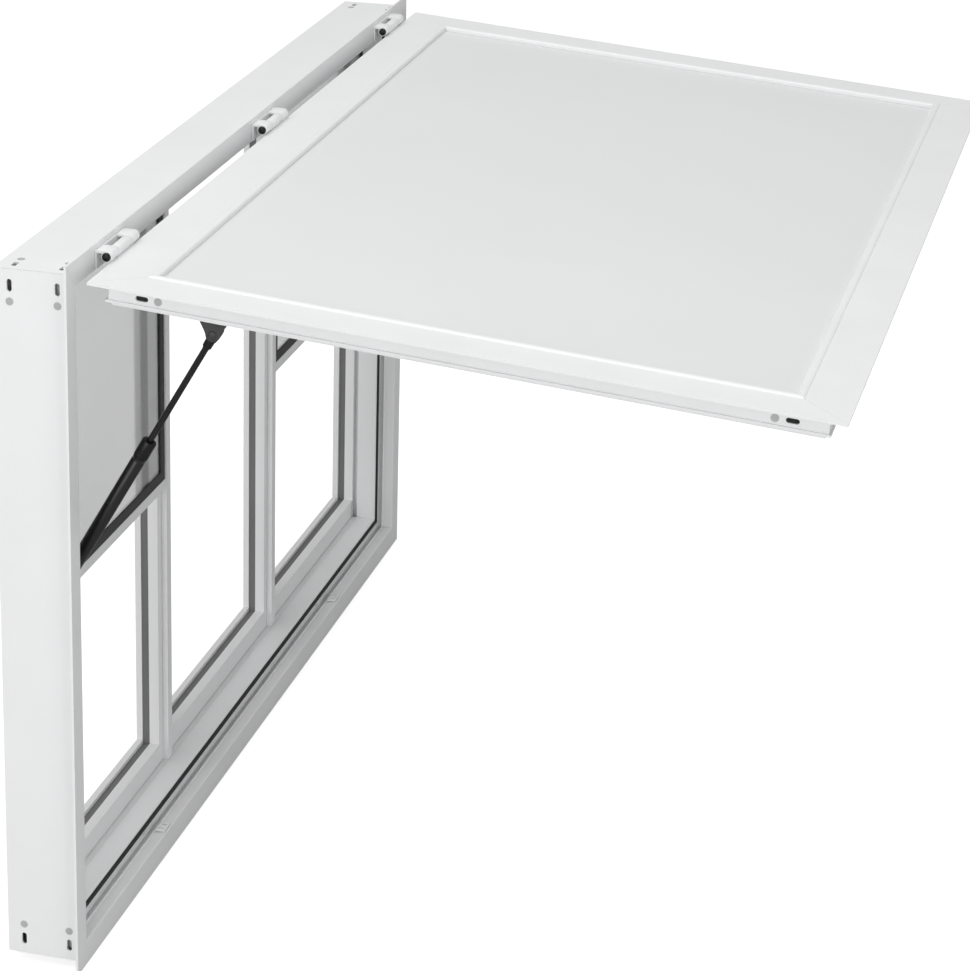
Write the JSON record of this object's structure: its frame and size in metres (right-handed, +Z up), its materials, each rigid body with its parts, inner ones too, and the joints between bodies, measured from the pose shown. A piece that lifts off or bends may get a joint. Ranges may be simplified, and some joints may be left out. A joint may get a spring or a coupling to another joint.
{
  "type": "serving window with awning door",
  "caption": "White aluminium serving window: mitred frame with mullions, short sliding glazed sashes, and a top-hung awning door held open by gas struts.",
  "frame": {"origin": "middle of the flat underside of the sill, in the window's width and in the depth of the box that sits in the wall", "axes": "+X along the width, to the right seen from outdoors; +Y indoors, so the awning door opens towards -Y; +Z up the window's height"},
  "size_m": [1.55, 1.0152, 0.9404],
  "materials": {
    "aluminium_key": "cast aluminium, unfinished",
    "black_plastic": "moulded black nylon",
    "black_steel": "semi-gloss black paint",
    "door_skin": "satin white coated aluminium sheet",
    "gasket_rubber": "matt dark grey rubber",
    "hinge_white": "satin white powder coat",
    "rod_nitride": "black nitrided and polished",
    "seal_rubber": "matt black rubber",
    "tinted_glass": "clear polished, lightly grey",
    "white_powder_coat": "satin white powder coat on extruded aluminium"
  },
  "bodies": {
    "frame": {"frame_sill": "white_powder_coat", "frame_head": "white_powder_coat", "frame_jamb_left": "white_powder_coat", "frame_jamb_right": "white_powder_coat", "sill_track": "white_powder_coat", "sill_rail": "white_powder_coat", "mullion_left": "white_powder_coat", "mullion_right": "white_powder_coat", "mullion_bar_left": "white_powder_coat", "mullion_bar_right": "white_powder_coat", "door_seal": "seal_rubber", "glazing_gasket_left": "gasket_rubber", "glazing_gasket_middle": "gasket_rubber", "glazing_gasket_right": "gasket_rubber", "frame_key_bottom_left": "aluminium_key", "frame_key_bottom_right": "aluminium_key", "frame_key_top_left": "aluminium_key", "frame_key_top_right": "aluminium_key", "hinge_left_frame_leaf": "hinge_white", "hinge_middle_frame_leaf": "hinge_white", "hinge_right_frame_leaf": "hinge_white", "hinge_left_pin": "black_plastic", "hinge_middle_pin": "black_plastic", "hinge_right_pin": "black_plastic", "strut_left_jamb_bracket": "black_steel", "strut_right_jamb_bracket": "black_steel", "sill_keeper_left": "white_powder_coat", "sill_keeper_right": "white_powder_coat"},
    "awning_door": {"door_rail_free": "white_powder_coat", "door_rail_hinge": "white_powder_coat", "door_stile_left": "white_powder_coat", "door_stile_right": "white_powder_coat", "door_panel": "door_skin", "door_key_bottom_left": "aluminium_key", "door_key_bottom_right": "aluminium_key", "door_key_top_left": "aluminium_key", "door_key_top_right": "aluminium_key", "hinge_left_door_leaf": "hinge_white", "hinge_middle_door_leaf": "hinge_white", "hinge_right_door_leaf": "hinge_white", "strut_left_door_bracket": "black_steel", "strut_right_door_bracket": "black_steel", "latch_left_body": "black_steel", "latch_right_body": "black_steel"},
    "sash_left": {"sash_left_rail": "white_powder_coat", "sash_left_glass": "tinted_glass", "sash_left_gasket": "seal_rubber"},
    "sash_right": {"sash_right_rail": "white_powder_coat", "sash_right_glass": "tinted_glass", "sash_right_gasket": "seal_rubber"},
    "strut_left_tube": {"strut_left_cylinder": "black_steel", "strut_left_collar": "black_plastic"},
    "strut_left_piston": {"strut_left_rod": "rod_nitride", "strut_left_rod_end": "black_plastic"},
    "strut_right_tube": {"strut_right_cylinder": "black_steel", "strut_right_collar": "black_plastic"},
    "strut_right_piston": {"strut_right_rod": "rod_nitride", "strut_right_rod_end": "black_plastic"},
    "latch_left": {"latch_left_handle": "black_steel"},
    "latch_right": {"latch_right_handle": "black_steel"}
  },
  "joints": [
    {"name": "door_hinge", "type": "hinge", "parent": "frame", "child": "awning_door", "pos_m": [0, -0.066, 0.9126], "axis": [1, 0, 0], "range_deg": [0, 85]},
    {"name": "strut_left_swing", "type": "hinge", "parent": "frame", "child": "strut_left_tube", "pos_m": [-0.7, -0.013, 0.492], "axis": [1, 0, 0], "range_deg": [-32, 1]},
    {"name": "strut_left_stroke", "type": "slide", "parent": "strut_left_tube", "child": "strut_left_piston", "axis": [0, -0.4956, 0.8686], "range_m": [-0.134, 0.001]},
    {"name": "strut_right_swing", "type": "hinge", "parent": "frame", "child": "strut_right_tube", "pos_m": [0.7, -0.013, 0.492], "axis": [1, 0, 0], "range_deg": [-32, 1]},
    {"name": "strut_right_stroke", "type": "slide", "parent": "strut_right_tube", "child": "strut_right_piston", "axis": [0, -0.4956, 0.8686], "range_m": [-0.134, 0.001]},
    {"name": "sash_left_slide", "type": "slide", "parent": "frame", "child": "sash_left", "axis": [0, 0, 1], "range_m": [-0.405, 0]},
    {"name": "sash_right_slide", "type": "slide", "parent": "frame", "child": "sash_right", "axis": [0, 0, 1], "range_m": [-0.405, 0]},
    {"name": "latch_left_turn", "type": "hinge", "parent": "awning_door", "child": "latch_left", "pos_m": [-0.418, -0.92166, 0.79558], "axis": [0, 0.0872, -0.9962], "range_deg": [-90, 0]},
    {"name": "latch_right_turn", "type": "hinge", "parent": "awning_door", "child": "latch_right", "pos_m": [0.418, -0.92166, 0.79558], "axis": [0, 0.0872, -0.9962], "range_deg": [0, 90]}
  ],
  "couplings": [
    {"joint": "strut_left_swing", "follows": "door_hinge", "ratio": -0.36578},
    {"joint": "strut_left_stroke", "follows": "door_hinge", "m_per_rad": -0.088664},
    {"joint": "strut_right_swing", "follows": "door_hinge", "ratio": -0.36578},
    {"joint": "strut_right_stroke", "follows": "door_hinge", "m_per_rad": -0.088664}
  ]
}
